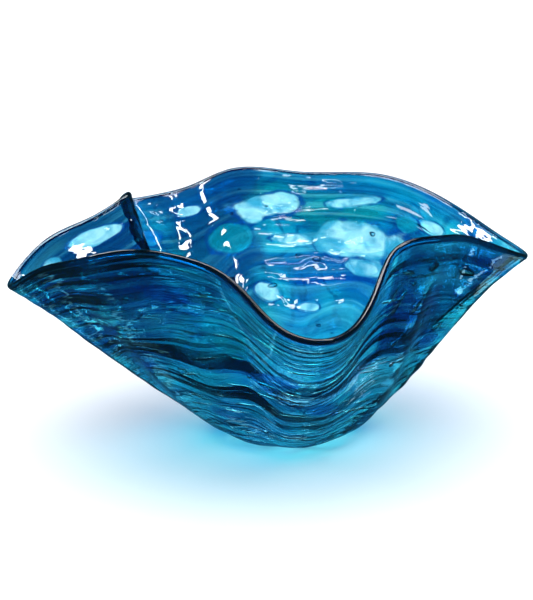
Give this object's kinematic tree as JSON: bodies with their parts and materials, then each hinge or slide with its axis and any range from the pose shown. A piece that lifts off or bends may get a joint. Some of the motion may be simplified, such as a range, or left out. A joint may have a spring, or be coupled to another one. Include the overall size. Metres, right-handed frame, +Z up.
{
  "type": "art glass bowl",
  "caption": "Wide fluted display bowl of cased blown glass, with a folded wavy lip, a dark lip wrap, coloured chips in the wall and a ground foot pad.",
  "frame": {"origin": "centre of the foot pad's flat underside, on the surface that the bowl stands on", "axes": "+Z up through the foot; +X towards the shorter pulled point of the lip, with the longer point at -X; -Y towards the low front dip of the lip"},
  "size_m": [0.4033, 0.3393, 0.1814],
  "materials": {
    "inner_glass": "clear, faintly aqua blown glass, fire polished",
    "coat_glass": "streaked turquoise and cobalt coloured glass",
    "casing_glass": "clear blown glass over the colour, fire polished",
    "lip_glass": "near-black blue glass, glossy",
    "foot_glass": "clear aqua glass, ground and polished",
    "pale_glass": "pale aqua, slightly milky glass",
    "teal_glass": "teal green glass",
    "cobalt_glass": "cobalt blue glass"
  },
  "bodies": {
    "root": {"cobalt_chip_01": "cobalt_glass", "cobalt_chip_02": "cobalt_glass", "cobalt_chip_03": "cobalt_glass", "cobalt_chip_04": "cobalt_glass", "cobalt_chip_05": "cobalt_glass", "cobalt_chip_06": "cobalt_glass", "cobalt_chip_07": "cobalt_glass", "colour_coat": "coat_glass", "inner_gather": "inner_glass", "lip_wrap": "lip_glass", "outer_casing": "casing_glass", "pale_window_01": "pale_glass", "pale_window_02": "pale_glass", "pale_window_03": "pale_glass", "pale_window_04": "pale_glass", "pale_window_05": "pale_glass", "pale_window_06": "pale_glass", "pale_window_07": "pale_glass", "pale_window_08": "pale_glass", "pale_window_09": "pale_glass", "pale_window_10": "pale_glass", "pale_window_11": "pale_glass", "pale_window_12": "pale_glass", "pale_window_13": "pale_glass", "pale_window_14": "pale_glass", "punty_pad": "foot_glass", "teal_chip_01": "teal_glass", "teal_chip_02": "teal_glass", "teal_chip_03": "teal_glass", "teal_chip_04": "teal_glass", "teal_chip_05": "teal_glass"}
  },
  "joints": []
}
